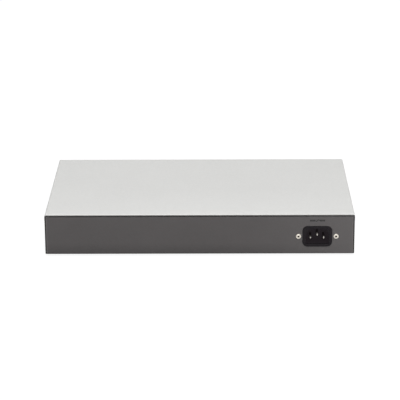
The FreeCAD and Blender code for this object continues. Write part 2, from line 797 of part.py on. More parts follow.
def inlet_rivets():
    """Blind rivets: a domed head outside, a bulb inside, and the stub of the mandrel left in the middle."""
    rivets, mandrels = [], []
    back = rear_inner - size.inlet_flange_thick
    rim = rear_face + 0.35
    top = rear_face + size.rivet_head_height
    for place in rivet_places:
        head = rod("Y", place, (rear_face, rim), size.rivet_head)
        dome = taper("Y", place, (rim, top), size.rivet_head, size.rivet_head * 0.62)
        stem = rod("Y", place, (back, rear_face), size.rivet_radius)
        bulb = taper("Y", place, (back - 2.4, back), size.rivet_radius, size.rivet_radius + 0.9)
        bore = rod("Y", place, (back - 1, top + 1), size.rivet_bore)
        rivets.append(without(joined(head, dome, stem, bulb), bore))
        stub = (back - 0.98, top - size.mandrel_recess)
        mandrels.append(rod("Y", place, stub, size.rivet_bore - 0.03))
    keep("inlet_rivets", *rivets)
    keep("rivet_mandrels", *mandrels)


# ------------------------------------------------------------------ jacks and their light pipes


def port_outline(x, row):
    """A jack's opening with its latch notch: row -1 is the lower row, row 1 the upper, notches outwards."""
    near = jack_middle + size.jack_web * row / 2
    far = near + size.jack_height * row
    notch = far + size.latch_height * row
    half, half_latch = size.jack_width / 2, size.latch_width / 2
    return outline(
        (x - half, near),
        (x + half, near),
        (x + half, far),
        (x + half_latch, far),
        (x + half_latch, notch),
        (x - half_latch, notch),
        (x - half_latch, far),
        (x - half, far),
    )


def punch_ports(body, centre, span):
    """Cuts both rows of jack openings."""
    for row in (-1, 1):
        opening = body.pocket("XZ", span, port_outline(jack_columns(centre)[0], row))
        body.row(opening, "X", size.jack_pitch, COLUMNS, adds=False)


def jack_housing(name, centre):
    """Black moulding with two rows of jacks."""
    housing = Body(f"jack_housing_{name}").kept()
    depth = (jack_front, jack_front + size.jack_block_depth)
    housing.pad("XY", housing_span, rectangle(around(centre, size.jack_block_width), depth))
    punch_ports(housing, centre, (jack_front - 1, jack_front + size.jack_depth))


def jack_shield(name, centre):
    """Folded tin-plate around a jack housing, open below, with the jacks punched in its face."""
    shield = Body(f"jack_shield_{name}").kept()
    back = jack_front + size.jack_block_depth
    depth = (jack_front - size.shield_thick, back + size.shield_thick)
    shield.pad("XY", (board_top, shield_top), rectangle(around(centre, shield_width), depth))
    hollow = rectangle(around(centre, size.jack_block_width), (jack_front, back))
    shield.pocket("XY", (board_top - 1, housing_span[1]), hollow)
    punch_ports(shield, centre, (depth[0] - 1, jack_front + 0.1))


def jack_contacts(name, centre):
    """Gilt spring wires that slope across each jack from the web between the rows."""
    slope = 14
    wires = []
    for column in jack_columns(centre):
        for row in (-1, 1):
            web = jack_middle + size.jack_web * row / 2
            level = web if row > 0 else web - size.contact_thick
            turn = FreeCAD.Rotation(FreeCAD.Vector(1, 0, 0), slope * row)
            for i in range(CONTACTS):
                strip = doc.addObject("Part::Box", "Contact")
                strip.Placement = FreeCAD.Placement(FreeCAD.Vector(), turn)
                bind(strip, "Length", size.contact_width)
                bind(strip, "Width", size.contact_length)
                bind(strip, "Height", size.contact_thick)
                middle = column + size.contact_pitch * (i - (CONTACTS - 1) / 2)
                bind(strip, "Placement.Base.x", middle - size.contact_width / 2)
                bind(strip, "Placement.Base.y", jack_front + size.contact_setback)
                bind(strip, "Placement.Base.z", level)
                wires.append(strip)
    keep(f"jack_contacts_{name}", *wires)


def light_pipes(name, centre):
    """Clear elbows from the lamps on the board to the front film, on one rib that rests on the shield."""
    pipes = Body(f"light_pipes_{name}").kept()
    rib = rectangle(around(centre, shield_width - 2), (film_face + 10, film_face + 12))
    pipes.pad("XY", (shield_top, size.pipe_level + 0.4), rib)
    leg_front = pipe_span[1] - size.pipe_leg
    leg_foot = board_top + size.port_lamp_height + 0.4
    elbow = outline(
        (pipe_span[0], size.pipe_level),
        (leg_front, size.pipe_level),
        (leg_front, leg_foot),
        (pipe_span[1], leg_foot),
        (pipe_span[1], pipe_top),
        (pipe_span[0], pipe_top),
    )
    for x in pipe_centres(centre)[:2]:
        pipe = pipes.pad("YZ", around(x, size.pipe_width), elbow)
        pipes.row(pipe, "X", size.jack_pitch, COLUMNS, adds=True)


def port_lamps():
    """Surface-mounted lamps under the light pipes."""
    depth = around(pipe_span[1] - size.pipe_leg / 2, 0.8)
    level = (board_top, board_top + size.port_lamp_height)
    lamps = []
    for centre in block_centres.values():
        lamps += [block(around(x, 1.6), depth, level) for x in pipe_centres(centre)]
    keep("port_lamps", *lamps)


# ------------------------------------------------------------------ power lamp and uplink button


def power_lamp():
    """A clear domed lens through the front wall, in a holder on the board."""
    place = (size.lamp_x, control_z)
    lens_end = front_inner + 4
    lens = rod("Y", place, (film_face, lens_end), size.lamp_radius)
    dome = taper("Y", place, (film_face - 0.7, film_face), size.lamp_radius * 0.6, size.lamp_radius)
    keep("power_lamp", joined(lens, dome))
    holder = block(around(size.lamp_x, 5), (front_inner + 2, front_inner + 8), (board_top, control_z + 2.5))
    socket = rod("Y", place, (front_inner + 1, lens_end), size.lamp_radius + 0.05)
    keep("power_lamp_holder", without(holder, socket))


def uplink_switch():
    """A push button: a round cap through the front wall on a square plunger, and the switch it slides in."""
    place = (size.button_x, control_z)
    edge = 0.4
    cap_front, cap_back = film_face - size.button_proud, front_inner + 2
    plunger_end = cap_back + size.plunger_length
    well_end = plunger_end + size.spring_length
    cap = rod("Y", place, (cap_front + edge, cap_back), size.button_radius)
    rim = taper("Y", place, (cap_front, cap_front + edge), size.button_radius - edge, size.button_radius)
    side = size.plunger_side
    plunger = block(around(size.button_x, side), (cap_back, plunger_end), around(control_z, side))
    keep("uplink_button", joined(cap, rim, plunger))
    shell_front = cap_back + size.button_travel + 0.5
    shell = block(around(size.button_x, 8), (shell_front, well_end + 1.5), (board_top, control_z + 4))
    side = size.plunger_side + 0.1
    well = block(around(size.button_x, side), (shell_front - 1, well_end), around(control_z, side))
    keep("uplink_switch", without(shell, well))
    return_spring(plunger_end)


def return_spring(start):
    """A coil between the plunger's end and the bottom of the switch's well."""
    coils = doc.addObject("Part::Helix", "Coils")
    coils.SegmentLength = 1
    wound = size.spring_length - size.spring_wire * 4
    bind(coils, "Pitch", wound / SPRING_TURNS)
    bind(coils, "Height", wound)
    bind(coils, "Radius", size.spring_radius)
    section = doc.addObject("Part::Circle", "Section")
    section.Placement = FreeCAD.Placement(FreeCAD.Vector(), FreeCAD.Rotation(FreeCAD.Vector(1, 0, 0), 90))
    bind(section, "Radius", size.spring_wire)
    bind(section, "Placement.Base.x", size.spring_radius)
    spring = doc.addObject("Part::Sweep", "Spring")
    spring.Sections = [section]
    spring.Spine = (coils, [f"Edge{turn + 1}" for turn in range(SPRING_TURNS)])
    spring.Solid = True
    spring.Frenet = True
    spring.Placement = FreeCAD.Placement(FreeCAD.Vector(), TURN_Z_TO["Y"])
    bind(spring, "Placement.Base.x", size.button_x)
    bind(spring, "Placement.Base.y", start + size.spring_wire * 2)
    bind(spring, "Placement.Base.z", control_z)
    keep("button_spring", spring)


# ------------------------------------------------------------------ boards and their fixings


def board(label, across, depth, places):
    """A circuit board with a hole at each of its standoffs."""
    body = Body(label).kept()
    body.pad("XY", (board_under, board_top), rectangle(across, depth, 1.5))
    holes = [circle(x, y, size.board_screw_radius + 0.2) for x, y in places]
    body.pocket("XY", (board_under - 1, board_top + 1), *holes)


def boards():
    """The main board behind the jacks, and the supply's board with the insulating sheet under it."""
    front = front_inner + size.main_board_gap
    depth = (front, front + size.main_board_depth)
    board("main_board", around(0, size.main_board_width), depth, MAIN_STANDOFFS)
    across = (size.supply_left, size.supply_left + size.supply_width)
    depth = (size.supply_front, size.supply_front + size.supply_depth)
    board("supply_board", across, depth, SUPPLY_STANDOFFS)
    sheet = Body("insulating_sheet").kept()
    area = rectangle((across[0] - 1, across[1] + 1), (depth[0] - 1, depth[1] + 1), 3)
    sheet.pad("XY", (floor_top, floor_top + size.insulator_thick), area)
    holes = [circle(x, y, size.standoff_radius + 0.4) for x, y in SUPPLY_STANDOFFS]
    sheet.pocket("XY", (floor_top - 1, floor_top + 1), *holes)


def standoffs():
    """Clinched into the floor from below, with a blind thread for the board screw."""
    posts = []
    for place in MAIN_STANDOFFS + SUPPLY_STANDOFFS:
        shank = rod("Z", place, (underside + 0.1, floor_top), size.standoff_shank)
        post = rod("Z", place, (floor_top, board_under), size.standoff_radius)
        thread = rod("Z", place, (board_under - 5, board_under + 1), size.board_screw_radius + 0.05)
        posts.append(without(joined(shank, post), thread))
    keep("board_standoffs", *posts)


def board_screws():
    head_top = board_top + size.board_screw_head_height
    screws = []
    for place in MAIN_STANDOFFS + SUPPLY_STANDOFFS:
        head = rod("Z", place, (board_top, head_top), size.board_screw_head)
        stem = rod("Z", place, (board_under - 4, board_top), size.board_screw_radius)
        recess = cross_recess("Z", place, (head_top - 0.9, head_top + 1))
        screws.append(without(joined(head, stem), *recess))
    keep("board_screws", *screws)


# ------------------------------------------------------------------ components on the boards


def can(x, y, radius, height):
    """An electrolytic capacitor standing on a board, with the groove rolled near its foot."""
    foot, groove = board_top + 1, board_top + 1.8
    return joined(
        rod("Z", (x, y), (board_top, foot), radius),
        rod("Z", (x, y), (foot, groove), radius - 0.35),
        rod("Z", (x, y), (groove, board_top + height), radius),
    )


def tabled_components():
    """The plain blocks and the cans, gathered by name."""
    pieces = {}
    for name, x, y, height in BOARD_BLOCKS:
        pieces.setdefault(name, []).append(block(x, y, (board_top, board_top + height)))
    for name, x, y, radius, height in CANS:
        pieces.setdefault(name, []).append(can(x, y, radius, height))
    for name, solids in pieces.items():
        keep(name, *solids)


def magnetics():
    """One isolating-transformer package behind each column of jacks."""
    row = (film_face + 34, film_face + 43.5)
    columns = [x for centre in block_centres.values() for x in jack_columns(centre)]
    keep("magnetics", *[block(around(x, 12.7), row, (board_top, board_top + 5.8)) for x in columns])


def power_inductors():
    """Shielded coils on square feet."""
    coils = []
    for x, y in ((-100, -14), (-82, -14), (104, -14)):
        foot = block(around(x, 10), around(y, 10), (board_top, board_top + 1))
        coils.append(joined(foot, rod("Z", (x, y), (board_top + 1, board_top + 5), 4.6)))
    keep("power_inductors", *coils)


def switch_heat_sink():
    """An extruded sink on the switch chip: a plate with upright fins."""
    middle_x, middle_y, side, fins, fin = 16, -12, 34, 9, 1.4
    level = board_top + 2.4
    along = around(middle_y, side)
    pieces = [block(around(middle_x, side), along, (level, level + 3))]
    for i in range(fins):
        left = middle_x - side / 2 + (side - fin) / (fins - 1) * i
        pieces.append(block((left, left + fin), along, (level, level + 16)))
    keep("switch_heat_sink", joined(*pieces))


def transformer():
    """A wound bobbin in a ferrite frame; its moulded base is among the plain blocks."""
    x, y = -98, 48
    low = board_top + 3
    frame = block(around(x, 28), around(y, 10), (low, low + 21))
    window = block(around(x, 18), around(y, 12), (low + 4, low + 17))
    limb = block(around(x, 8), around(y, 10), (low + 3, low + 18))
    keep("transformer_core", joined(without(frame, window), limb))
    coil = block(around(x, 17.6), around(y, 20), (low + 4.2, low + 16.8))
    keep("transformer_coil", without(coil, block(around(x, 8.4), around(y, 10.4), (low, low + 21))))


def mains_choke():
    """A ring choke that stands on its edge."""
    middle = (-147, board_top + 8.5)
    ring = rod("Y", middle, (34, 46), 8.5)
    keep("mains_choke", without(ring, rod("Y", middle, (33, 47), 4)))


def fuse():
    """A glass fuse with its end caps, in two clips."""
    x, z = as_size(-131), board_top + 4.4
    tube = rod("X", (52, z), (x - 6, x + 6), 2.4)
    caps = [rod("X", (52, z), span, 2.6) for span in ((x - 10, x - 5), (x + 5, x + 10))]
    keep("mains_fuse", joined(tube, *caps))
    clips = []
    for centre in (x - 7.5, x + 7.5):
        clip = block(around(centre, 4), (48.6, 55.4), (board_top, z + 1.2))
        clips.append(without(clip, rod("X", (52, z), (x - 11, x + 11), 2.65)))
    keep("fuse_clips", *clips)


def power_transistors():
    """Two upright sinks, each with a transistor flat against it."""
    sinks, transistors = [], []
    for x in (-108, -82):
        x = as_size(x)
        plate = block(around(x, 22), (27, 29), (board_top, board_top + 24))
        foot = block(around(x, 22), (24, 29), (board_top, board_top + 2))
        sinks.append(joined(plate, foot))
        body = block(around(x, 10), (29, 33.5), (board_top + 5, board_top + 14))
        tab = block(around(x, 10), (29, 30.3), (board_top + 14, board_top + 20))
        under = (board_top, board_top + 5)
        legs = [block(around(x + leg, 0.8), (30.6, 31.1), under) for leg in (-2.5, 0, 2.5)]
        transistors.append(joined(body, tab, *legs))
    keep("supply_heat_sinks", *sinks)
    keep("power_transistors", *transistors)


# ------------------------------------------------------------------ earth point and wiring


def earth_point():
    """A stud welded to the floor, with the earth wire's crimped ring and a nut."""
    x, y = as_size(-82), as_size(88)
    keep("earth_stud", rod("Z", (x, y), (floor_top, floor_top + 9), 2))
    lug_top = floor_top + 0.8
    ring = rod("Z", (x, y), (floor_top, lug_top), 4)
    tongue = block((x - 7, x - 3), around(y, 3), (floor_top, lug_top))
    crimp = rod("X", (y, floor_top + 1.5), (x - 10, x - 6), 1.5)
    hole = rod("Z", (x, y), (floor_top - 1, floor_top + 2), 2.1)
    keep("earth_ring", without(joined(ring, tongue, crimp), hole))
    nut = doc.addObject("Part::Prism", "Hexagon")
    nut.Polygon = 6
    bind(nut, "Circumradius", 4)
    bind(nut, "Height", 3.2)
    for name, level in (("x", x), ("y", y), ("z", lug_top)):
        bind(nut, f"Placement.Base.{name}", level)
    keep("earth_nut", without(nut, rod("Z", (x, y), (floor_top, floor_top + 6), 2.05)))
    return (x - 10.1, y, floor_top + 1.5)


def mains_wires(earth_end):
    """From the inlet's tabs: line and neutral to the supply's header, earth to its ring."""
    start = inlet_back - size.tab_length - 0.1
    line_start, earth_start, neutral_start = [(x, start, z) for x, z, _ in blade_places()]
    header = board_top + 8.1
    line = (
        line_start,
        (line_start[0], 70, line_start[2]),
        (-134.5, 69.5, 27),
        (-152.6, 69.3, 27),
        (-152.6, 69.3, header),
    )
    neutral = (
        neutral_start,
        (neutral_start[0], 69.5, neutral_start[2]),
        (-122, 69.3, 14.5),
        (-140, 69.3, 14.5),
        (-142, 69.3, 23),
        (-147.6, 69.3, 23),
        (-147.6, 69.3, header),
    )
    earth = (
        earth_start,
        (earth_start[0], 70, earth_start[2]),
        (-106, 70, earth_start[2]),
        (-104, 80, 14),
        (-100, 88, earth_end[2]),
        earth_end,
    )
    keep("line_wire", wire(size.mains_wire_radius, line))
    keep("neutral_wire", wire(size.mains_wire_radius, neutral))
    keep("earth_wire", wire(size.mains_wire_radius, earth))


def supply_wires():
    """Two positive and two return wires from the supply to the main board, one layer above another."""
    header = board_top + 8.1
    for name, places in (("positive", (0, 1)), ("return", (2, 3))):
        runs = []
        for i in places:
            level = header + 5.2 + size.wire_layer * (3 - i)
            start, end = (-53, 48 - 4 * i), (-58 + 4 * i, 4)
            points = (
                (*start, header),
                (*start, level),
                (*end, level),
                (*end, header),
            )
            runs.append(wire(size.low_wire_radius, points))
        keep(f"supply_wires_{name}", *runs)


# ------------------------------------------------------------------ build everything and write it out


def check():
    """Stops on any object that failed and on any part without valid solids."""
    doc.recompute()
    failed = [o.Label for o in doc.Objects if "Invalid" in o.State or "Error" in o.State]
    if failed:
        raise RuntimeError(f"these objects failed: {failed}")
    for label, part in parts.items():
        if part.Shape.isNull() or not part.Shape.isValid() or not part.Shape.Solids:
            raise RuntimeError(f"{label} has no valid solid")


def write():
    os.makedirs("parts", exist_ok=True)
    for label, part in parts.items():
        part.Shape.exportStep(f"parts/{label}.step")


chassis_base()
top_cover()
front_film()
rubber_feet()
cover_screws()
ear_nuts()
power_inlet()
inlet_blades()
inlet_rivets()
for block_name, block_x in block_centres.items():
    jack_housing(block_name, block_x)
    jack_shield(block_name, block_x)
    jack_contacts(block_name, block_x)
    light_pipes(block_name, block_x)
port_lamps()
power_lamp()
uplink_switch()
boards()
standoffs()
board_screws()
tabled_components()
magnetics()
power_inductors()
switch_heat_sink()
transformer()
mains_choke()
fuse()
power_transistors()
mains_wires(earth_point())
supply_wires()
check()
write()
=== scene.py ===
import json
import math

import bmesh
import bpy
from mathutils import Matrix, Vector


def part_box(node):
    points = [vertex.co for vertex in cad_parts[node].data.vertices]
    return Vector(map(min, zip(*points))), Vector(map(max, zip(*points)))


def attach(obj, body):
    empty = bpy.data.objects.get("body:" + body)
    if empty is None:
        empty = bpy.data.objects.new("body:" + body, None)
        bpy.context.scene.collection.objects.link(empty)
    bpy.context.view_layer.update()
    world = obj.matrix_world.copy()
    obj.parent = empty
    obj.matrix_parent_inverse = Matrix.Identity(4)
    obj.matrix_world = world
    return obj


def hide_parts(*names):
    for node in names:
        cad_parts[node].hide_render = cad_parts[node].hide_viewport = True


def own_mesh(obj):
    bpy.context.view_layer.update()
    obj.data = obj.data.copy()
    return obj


# A desktop network switch seen from behind and slightly above: a satin silver-grey cover over a dark
# powder-coated base, with a black mains inlet held by two rivets. The shapes come from the frame; this
# script gives every one of them its finish, and adds the printed marks and the button's return spring.

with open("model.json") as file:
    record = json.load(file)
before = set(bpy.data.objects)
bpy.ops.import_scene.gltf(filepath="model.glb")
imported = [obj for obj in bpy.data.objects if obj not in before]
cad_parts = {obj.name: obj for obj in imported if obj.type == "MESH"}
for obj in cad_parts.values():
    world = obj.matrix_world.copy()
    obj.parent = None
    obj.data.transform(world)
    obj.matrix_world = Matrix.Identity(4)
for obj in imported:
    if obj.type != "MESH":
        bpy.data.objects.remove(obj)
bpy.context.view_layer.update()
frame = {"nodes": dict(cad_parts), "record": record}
MM = 0.001

# ------------------------------------------------------------------ building one material


def paint(red, green, blue):
    """A colour given in the usual 0 to 255 steps, as the linear value that the shaders use."""
    steps = (red / 255, green / 255, blue / 255)
    linear = (c / 12.92 if c <= 0.04045 else ((c + 0.055) / 1.055) ** 2.4 for c in steps)
    return (*linear, 1.0)


WAVE_SCALE = 20 / math.tau  # Blender's wave texture has 20 / tau bands to its unit along an axis


class Finish:
    """A Principled material put together from procedural textures laid out in metres."""

    def __init__(self, name, colour, roughness=0.5, metallic=0.0, **more):
        self.material = bpy.data.materials.new(name)
        self.material.use_nodes = True
        self.nodes = self.material.node_tree.nodes
        self.links = self.material.node_tree.links
        self.shader = self.nodes["Principled BSDF"]
        self.place = self.nodes.new("ShaderNodeTexCoord").outputs["Object"]
        self.colour = colour
        self.roughness = roughness
        self.normal = None
        self.set("Metallic", metallic)
        for key, value in more.items():
            self.set(key.replace("_", " ").title().replace("Ior", "IOR"), value)

    def set(self, name, value):
        """Gives one of the shader's inputs a number, a colour or a texture."""
        self.plug(value, self.shader.inputs[name])

    def plug(self, value, socket):
        """Links a texture to a socket, or sets the socket's own value."""
        if isinstance(value, bpy.types.NodeSocket):
            self.links.new(value, socket)
        else:
            socket.default_value = value

    def noise(self, size, detail=3.0, stretch=(1, 1, 1)):
        """Cloudy noise whose features are about this size in millimetres."""
        node = self.textured("ShaderNodeTexNoise", size, stretch)
        node.inputs["Detail"].default_value = detail
        return node.outputs[0]

    def cells(self, size):
        """The distance from the middles of random cells of about this size in millimetres."""
        return self.textured("ShaderNodeTexVoronoi", size).outputs["Distance"]

    def bands(self, size, direction):
        """Even bands, this many millimetres from one to the next."""
        node = self.textured("ShaderNodeTexWave", size * WAVE_SCALE)
        node.bands_direction = direction
        return node.outputs["Fac"]

    def textured(self, kind, size, stretch=(1, 1, 1)):
        """A texture node whose own unit is this many millimetres."""
        mapping = self.nodes.new("ShaderNodeMapping")
        self.links.new(self.place, mapping.inputs["Vector"])
        mapping.inputs["Scale"].default_value = stretch
        node = self.nodes.new(kind)
        self.links.new(mapping.outputs["Vector"], node.inputs["Vector"])
        node.inputs["Scale"].default_value = 1 / (size * MM)
        return node

    def spread(self, value, low, high, start=0.3, end=0.7):
        """Takes a texture's useful range to low..high."""
        node = self.nodes.new("ShaderNodeMapRange")
        ends = {"From Min": start, "From Max": end, "To Min": low, "To Max": high}
        self.links.new(value, node.inputs["Value"])
        for name, number in ends.items():
            node.inputs[name].default_value = number
        return node.outputs["Result"]

    def math(self, operation, one, other=0.0):
        """One step of arithmetic on a texture."""
        node = self.nodes.new("ShaderNodeMath")
        node.operation = operation
        self.plug(one, node.inputs[0])
        self.plug(other, node.inputs[1])
        return node.outputs[0]

    def axis(self, name):
        """One coordinate of the place, in metres."""
        node = self.nodes.new("ShaderNodeSeparateXYZ")
        self.links.new(self.place, node.inputs[0])
        return node.outputs[name]

    def tint(self, mask, other):
        """Mixes the colour towards another one where the mask is 1."""
        node = self.nodes.new("ShaderNodeMix")
        node.data_type = "RGBA"
        factor, one, two = node.inputs[0], node.inputs[6], node.inputs[7]
        self.plug(mask, factor)
        self.plug(self.colour, one)
        self.plug(other, two)
        self.colour = node.outputs[2]

    def vary(self, texture, amount):
        """Makes the colour lighter and darker by this share."""
        node = self.nodes.new("ShaderNodeHueSaturation")
        self.plug(self.colour, node.inputs["Color"])
        self.links.new(self.spread(texture, 1 - amount, 1 + amount), node.inputs["Value"])
        self.colour = node.outputs["Color"]

    def roughen(self, texture, amount):
        """Lets the roughness wander by this much on either side of its own value."""
        self.roughness = self.spread(texture, self.roughness - amount, self.roughness + amount)

    def bump(self, texture, depth):
        """Raises the surface by up to this many millimetres."""
        node = self.nodes.new("ShaderNodeBump")
        node.inputs["Strength"].default_value = 1.0
        node.inputs["Distance"].default_value = depth * MM
        self.links.new(texture, node.inputs["Height"])
        if self.normal:
            self.links.new(self.normal, node.inputs["Normal"])
        self.normal = node.outputs["Normal"]

    def edges(self, radius, wear_and_highlight, amount):
        """Rounds the edges to this radius in millimetres and lets the edge colour show along them, as wear
        and as a painted highlight.
        """
        bevel = self.nodes.new("ShaderNodeBevel")
        bevel.samples = 6
        bevel.inputs["Radius"].default_value = radius * MM
        self.normal = bevel.outputs["Normal"]
        flat = self.nodes.new("ShaderNodeNewGeometry")
        dot = self.nodes.new("ShaderNodeVectorMath")
        dot.operation = "DOT_PRODUCT"
        self.links.new(bevel.outputs["Normal"], dot.inputs[0])
        self.links.new(flat.outputs["Normal"], dot.inputs[1])
        far_apart, alike = 0.72, 0.98
        mask = self.spread(dot.outputs["Value"], amount, 0.0, far_apart, alike)
        self.tint(mask, wear_and_highlight)

    def done(self):
        """Plugs the colour, roughness and bumps in, and gives the material."""
        self.set("Base Color", self.colour)
        self.set("Roughness", self.roughness)
        if self.normal:
            self.set("Normal", self.normal)
        return self.material


# ------------------------------------------------------------------ the finishes

CHARCOAL = paint(76, 73, 73)
BEND_SHADE = paint(52, 50, 50)
SILVER = paint(194, 194, 192)


def behind_rear(finish):
    """How far a place lies inwards of the rear wall's outer face, in metres."""
    return finish.math("SUBTRACT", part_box("chassis_base")[1].y, finish.axis("Y"))


def powder_coat():
    """Dark base paint with the fine orange peel of a baked powder coat, with painted shade at the bends and
    down the walls.
    """
    finish = Finish("charcoal powder coat", CHARCOAL, roughness=0.5)
    low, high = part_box("chassis_base")
    # lighter along the edges: part wear, part painted highlight
    finish.edges(0.35, paint(92, 90, 90), 0.35)
    finish.vary(finish.noise(45, detail=2), 0.03)
    finish.vary(finish.noise(0.9, detail=4), 0.11)
    finish.tint(finish.spread(finish.cells(0.55), 0.16, 0.0, 0.05, 0.3), paint(94, 92, 92))
    # painted shade: darker down the walls, and again on the lower bend
    up = finish.math("SUBTRACT", finish.axis("Z"), low.z)
    finish.tint(finish.spread(up, 0.45, 0.0, 2 * MM, 13 * MM), BEND_SHADE)
    finish.tint(finish.spread(up, 0.45, 0.0, 1.2 * MM, 2 * MM), BEND_SHADE)
    # painted light: lighter towards the inlet's end, where the light falls brighter on the wall
    finish.tint(finish.spread(finish.axis("X"), 0.75, 0.0, low.x, low.x * 0.3), paint(88, 85, 85))
    # at both ends a painted highlight line, with a strip of painted shade outside it, dark and quite matt,
    # where the bend turns away from the light
    inward = finish.math("SUBTRACT", high.x, finish.math("ABSOLUTE", finish.axis("X")))
    finish.tint(finish.spread(inward, 0.4, 0.0, 2.0 * MM, 2.6 * MM), paint(112, 110, 110))
    finish.tint(finish.spread(inward, 0.85, 0.0, 1.4 * MM, 1.7 * MM), BEND_SHADE)
    finish.set("Specular IOR Level", finish.spread(inward, 0.0, 0.4, 1.2 * MM, 1.8 * MM))
    finish.roughen(finish.noise(2.5), 0.07)
    finish.bump(finish.noise(1.4, detail=2), 0.035)
    finish.bump(finish.noise(0.35, detail=1), 0.012)
    return finish.done()


def cover_paint():
    """Pale silver paint: fine metal flakes under a satin top layer, painted lighter towards the rear edge as
    painted light, with a painted highlight along the edges and a painted shadow line on the rear edge's cut.
    """
    finish = Finish("silver cover paint", SILVER, roughness=0.46, metallic=0.12, coat_weight=0.15)
    finish.set("Coat Roughness", 0.35)
    # a painted highlight along the edges, brightest on the rear edge
    finish.edges(0.6, paint(244, 244, 240), 0.9)
    # painted light: lighter towards the rear edge, where the light falls brighter on the top
    finish.tint(finish.spread(behind_rear(finish), 0.3, 0.0, 0.0, 90 * MM), paint(208, 208, 206))
    finish.tint(finish.spread(behind_rear(finish), 0.35, 0.0, 0.0, 9 * MM), paint(222, 222, 219))
    # a painted shadow line: the rear edge's cut made dark like the shaded gap beneath it
    finish.tint(finish.spread(behind_rear(finish), 1.0, 0.0, 0.08 * MM, 0.2 * MM), paint(90, 88, 87))
    finish.vary(finish.noise(70, detail=2), 0.012)
    finish.vary(finish.noise(0.7, detail=3), 0.04)
    finish.tint(finish.spread(finish.cells(0.4), 0.2, 0.0, 0.04, 0.22), paint(222, 222, 218))
    finish.roughen(finish.noise(3), 0.05)
    finish.bump(finish.noise(1.8, detail=2), 0.02)
    finish.bump(finish.noise(0.3, detail=1), 0.006)
    return finish.done()


def printed_film():
    """Dark polyester film with a fine matt grain."""
    finish = Finish("front film", paint(50, 51, 53), roughness=0.42, specular_ior_level=0.45)
    finish.edges(0.15, paint(92, 93, 95), 0.5)
    finish.vary(finish.noise(30, detail=2), 0.03)
    finish.vary(finish.noise(0.4, detail=3), 0.06)
    finish.roughen(finish.noise(5), 0.05)
    finish.bump(finish.cells(0.22), 0.008)
    return finish.done()


def moulded(name, colour, roughness, grain=0.012, mottle=0.05):
    """Injection-moulded plastic: spark-eroded grain, slow flow marks and softened edges."""
    finish = Finish(name, colour, roughness=roughness)
    lighter = tuple(min(1.0, c * 1.5 + 0.02) for c in colour[:3]) + (1.0,)
    finish.edges(0.25, lighter, 0.5)
    finish.vary(finish.noise(6, detail=2, stretch=(1, 1, 3)), mottle)
    finish.roughen(finish.noise(1.5), 0.06)
    finish.bump(finish.noise(0.25, detail=2), grain)
    return finish.done()


def inlet_plastic():
    """Near-black plastic, painted darker deep in the socket as painted shade, with a faint painted glow
    there that evens out its shadows.
    """
    finish = Finish("inlet plastic", paint(24, 20, 24), roughness=0.6, specular_ior_level=0.22)
    finish.edges(0.25, paint(40, 37, 40), 0.4)
    # deep in the socket: a darker colour as painted shade, and a faint glow as painted light
    inside = finish.spread(behind_rear(finish), 0.0, 1.0, 1.0 * MM, 4.0 * MM)
    finish.tint(inside, paint(15, 13, 15))
    finish.set("Emission Color", paint(32, 28, 31))
    finish.set("Emission Strength", inside)
    finish.vary(finish.noise(6, detail=2, stretch=(1, 1, 3)), 0.04)
    finish.roughen(finish.noise(1.5), 0.06)
    finish.bump(finish.noise(0.25, detail=2), 0.02)
    return finish.done()


def blade_nickel():
    """Nickel plate, bright on the blades' tips and darkened further in by painted shade."""
    finish = Finish("nickel plate", paint(214, 210, 203), roughness=0.3, metallic=1.0)
    finish.edges(0.15, paint(226, 222, 214), 0.6)
    # painted shade: the blades darken further into the socket
    shade_in_socket = finish.spread(behind_rear(finish), 0.0, 0.8, 4.3 * MM, 5.2 * MM)
    finish.tint(shade_in_socket, paint(112, 108, 102))
    finish.vary(finish.noise(4, detail=3), 0.08)
    finish.roughen(finish.noise(0.8, detail=3, stretch=(4, 0.4, 4)), 0.09)
    finish.bump(finish.noise(0.3, detail=2, stretch=(4, 0.4, 4)), 0.006)
    return finish.done()


def rubber():
    """Matt rubber with dust on it."""
    finish = Finish("foot rubber", paint(38, 38, 38), roughness=0.82, specular_ior_level=0.3)
    finish.edges(0.4, paint(62, 61, 60), 0.5)
    finish.vary(finish.noise(1.2, detail=4), 0.12)
    finish.tint(finish.spread(finish.noise(8), 0.0, 0.18), paint(96, 94, 90))
    finish.bump(finish.noise(0.5, detail=3), 0.03)
    return finish.done()


def plated(name, colour, roughness, brush=(1, 1, 1), stain=0.08):
    """Plated or plain metal, with brush or roll marks along the axis that brush leaves unstretched."""
    finish = Finish(name, colour, roughness=roughness, metallic=1.0)
    finish.edges(0.15, colour, 0.6)
    finish.vary(finish.noise(4, detail=3), stain)
    finish.vary(finish.noise(0.5, detail=2, stretch=brush), 0.05)
    finish.roughen(finish.noise(0.8, detail=3, stretch=brush), 0.09)
    finish.bump(finish.noise(0.3, detail=2, stretch=brush), 0.006)
    return finish.done()


def rivet_metal():
    """Soft aluminium, tumbled matt, so that it looks almost white under a soft light."""
    finish = Finish("rivet aluminium", paint(232, 226, 214), roughness=0.42, metallic=0.55)
    finish.edges(0.12, paint(244, 240, 230), 0.5)
    finish.vary(finish.noise(0.8, detail=4), 0.06)
    finish.roughen(finish.noise(0.5), 0.1)
    finish.bump(finish.noise(0.25, detail=2), 0.01)
    return finish.done()


def clear(name, colour, roughness=0.12):
    """Clear or tinted moulded plastic with faint flow lines."""
    finish = Finish(name, colour, roughness=roughness, transmission_weight=0.45, ior=1.49)
    finish.edges(0.1, paint(235, 238, 236), 0.3)
    finish.vary(finish.noise(2, detail=2), 0.06)
    finish.roughen(finish.noise(0.6), 0.04)
    finish.bump(finish.noise(0.7, stretch=(1, 0.3, 1)), 0.01)
    return finish.done()


